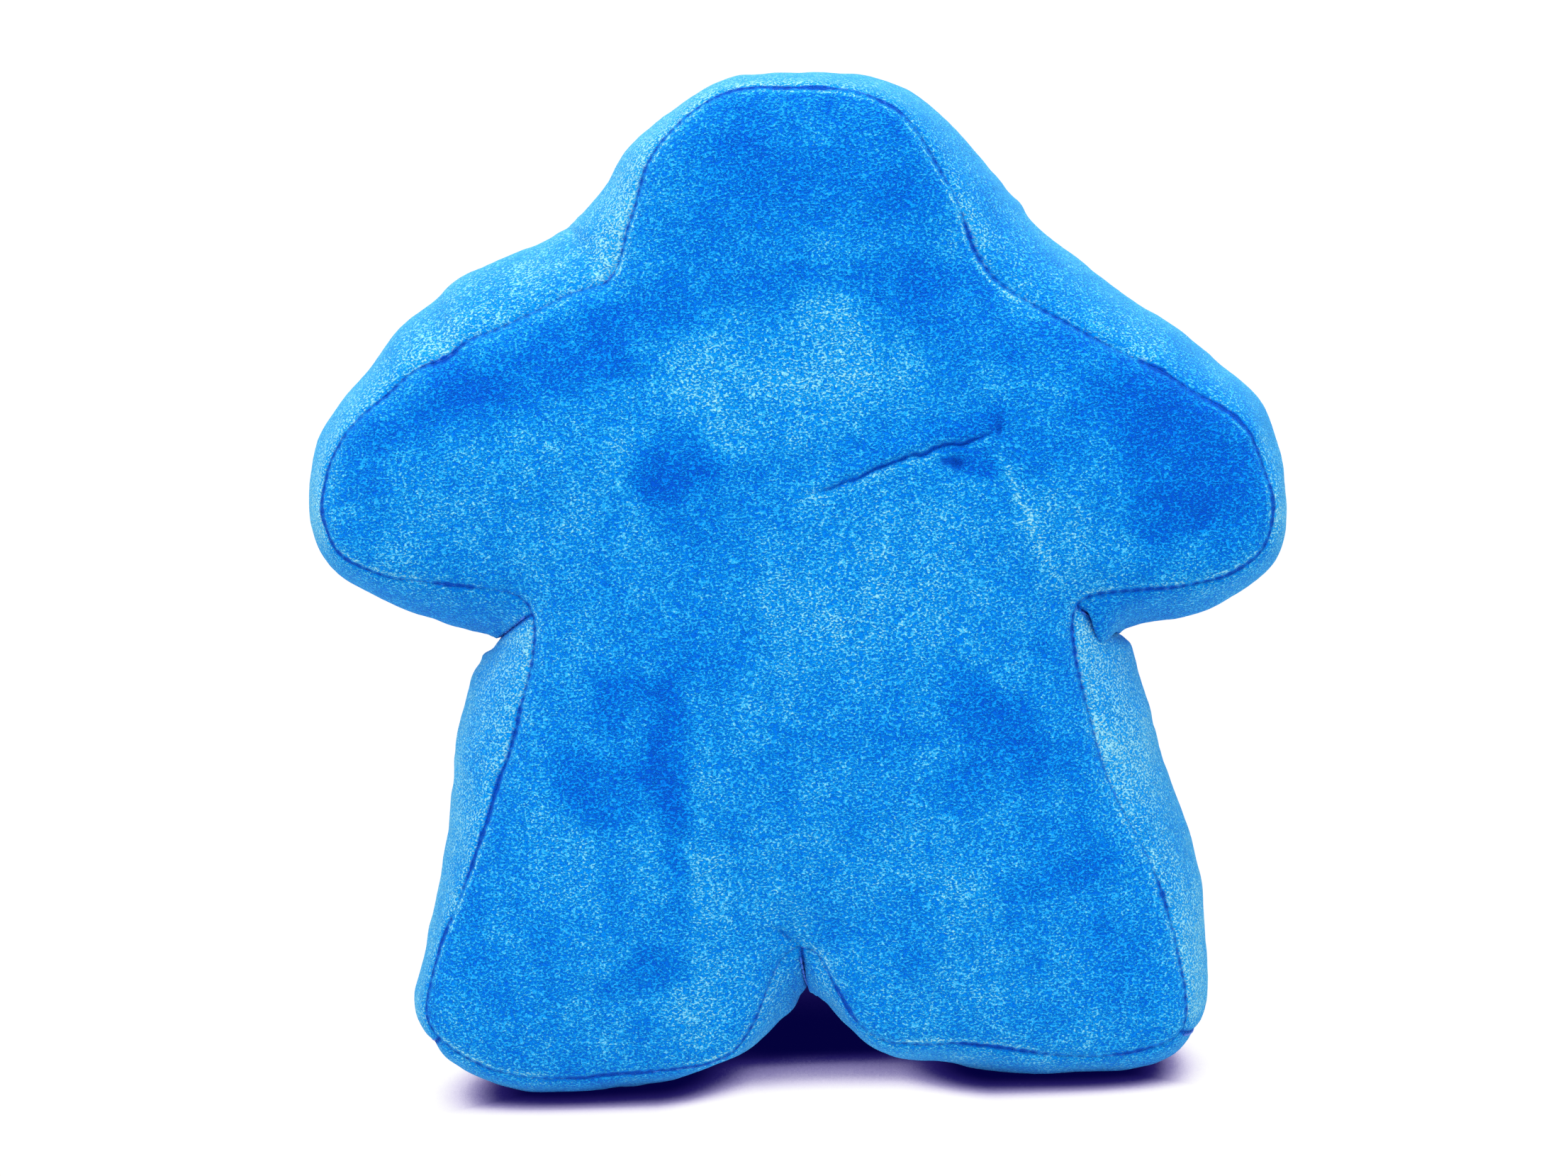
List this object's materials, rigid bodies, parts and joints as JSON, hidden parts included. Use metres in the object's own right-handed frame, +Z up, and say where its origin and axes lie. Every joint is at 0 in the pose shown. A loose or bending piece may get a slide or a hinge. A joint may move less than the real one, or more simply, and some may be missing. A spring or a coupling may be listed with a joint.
{
  "type": "plush meeple toy",
  "caption": "Stuffed plush toy in the shape of a meeple board-game figure: velour front and back panels joined by a bulging boxing strip, filled with fibre.",
  "frame": {"origin": "on the floor under the middle of the toy: halfway across its width and halfway between its front and back panels", "axes": "+Z up, +Y from the front panel to the back panel, +X to the right of somebody who faces the front panel"},
  "size_m": [0.2865, 0.1036, 0.2961],
  "materials": {
    "velour": "short brushed pile, soft sheen",
    "sewing_thread": "twisted polyester thread",
    "polyester_fibre": "loose white fibre",
    "label_ribbon": "satin ribbon, blank"
  },
  "bodies": {
    "plush": {"front_panel": "velour", "back_panel": "velour", "gusset_top": "velour", "gusset_left_side": "velour", "gusset_right_side": "velour", "gusset_left_foot": "velour", "gusset_right_foot": "velour", "front_seam_thread": "sewing_thread", "back_seam_thread": "sewing_thread", "closing_seam_thread": "sewing_thread", "left_armpit_thread": "sewing_thread", "right_armpit_thread": "sewing_thread", "left_foot_thread": "sewing_thread", "right_foot_thread": "sewing_thread", "crotch_thread": "sewing_thread", "head_filling": "polyester_fibre", "torso_filling": "polyester_fibre", "left_arm_filling": "polyester_fibre", "right_arm_filling": "polyester_fibre", "left_leg_filling": "polyester_fibre", "right_leg_filling": "polyester_fibre", "care_label_tab": "label_ribbon"},
    "care_label": {"care_label_flap": "label_ribbon"}
  },
  "joints": [
    {"name": "care_label_fold", "type": "hinge", "parent": "plush", "child": "care_label", "pos_m": [-0.1151, 0.04203, 0.04095], "axis": [-0.2581, 0, -0.9661], "range_deg": [-120, 10]}
  ]
}
